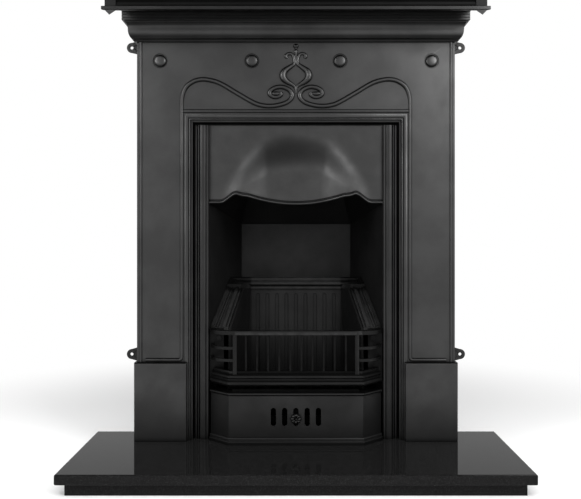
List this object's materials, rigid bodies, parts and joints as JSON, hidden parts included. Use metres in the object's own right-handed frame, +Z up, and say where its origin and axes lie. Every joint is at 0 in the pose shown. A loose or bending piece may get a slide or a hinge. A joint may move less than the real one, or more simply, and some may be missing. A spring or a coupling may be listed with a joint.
{
  "type": "cast iron fireplace",
  "caption": "Black cast iron fireplace with mantel shelf, canopy hood, barred fire basket and vented ash pan cover, standing on a boxed granite hearth.",
  "frame": {"origin": "underside of the hearth, on the centre line, in the plane of the wall", "axes": "+Z up, +Y into the wall, +X to the right of a person facing the fireplace"},
  "size_m": [1.22, 0.643, 1.319],
  "materials": {
    "cast_iron": "blackened and polished",
    "granite": "polished black",
    "concrete": "rough cast",
    "steel": "mill, darkened"
  },
  "bodies": {
    "fireplace": {"hearth_slab": "granite", "hearth_riser_front": "granite", "hearth_riser_left": "granite", "hearth_riser_right": "granite", "hearth_bed": "concrete", "back_hearth": "granite", "surround_casting": "cast_iron", "plinth_left": "cast_iron", "plinth_right": "cast_iron", "scroll_bead_left": "cast_iron", "scroll_bead_right": "cast_iron", "frieze_motif": "cast_iron", "frieze_bosses": "cast_iron", "cornice": "cast_iron", "mantel_shelf": "cast_iron", "shelf_bolts": "steel", "fixing_lugs": "cast_iron", "opening_frame": "cast_iron", "frame_bolts": "steel", "hood": "cast_iron", "cheek_left": "cast_iron", "cheek_right": "cast_iron", "cheek_bolts": "steel", "fireback": "cast_iron", "basket_back": "cast_iron", "basket_side_left": "cast_iron", "basket_side_right": "cast_iron", "basket_rim": "cast_iron", "grate_ledges": "cast_iron", "bar_saddles": "cast_iron", "throat": "cast_iron"},
    "air_slide": {"air_slide": "cast_iron", "rosette_knob": "cast_iron", "knob_nut": "steel"},
    "ash_cover": {"ash_cover": "cast_iron", "slide_keepers": "cast_iron"},
    "ash_pan": {"ash_pan": "steel", "pan_handle": "steel", "pan_rivets": "steel"},
    "front_bars": {"front_bars": "cast_iron"},
    "bottom_grate": {"bottom_grate": "cast_iron"},
    "damper": {"damper_flap": "cast_iron", "damper_pin": "steel", "damper_clips": "steel"}
  },
  "joints": [
    {"name": "cover_pull", "type": "slide", "parent": "fireplace", "child": "ash_cover", "axis": [0, -1, 0], "range_m": [0, 0.24]},
    {"name": "air_regulator", "type": "slide", "parent": "ash_cover", "child": "air_slide", "axis": [0, 0, 1], "range_m": [-0.016, 0.026]},
    {"name": "pan_pull", "type": "slide", "parent": "fireplace", "child": "ash_pan", "axis": [0, -1, 0], "range_m": [0, 0.205]},
    {"name": "bars_lift", "type": "slide", "parent": "fireplace", "child": "front_bars", "axis": [0, 0, 1], "range_m": [0, 0.12]},
    {"name": "grate_lift", "type": "slide", "parent": "fireplace", "child": "bottom_grate", "axis": [0, 0, 1], "range_m": [0, 0.12]},
    {"name": "damper_turn", "type": "hinge", "parent": "fireplace", "child": "damper", "pos_m": [0, 0.095, 0.97], "axis": [1, 0, 0], "range_deg": [0, 80]}
  ],
  "couplings": [
    {"joint": "pan_pull", "follows": "cover_pull", "ratio": 0.85}
  ]
}
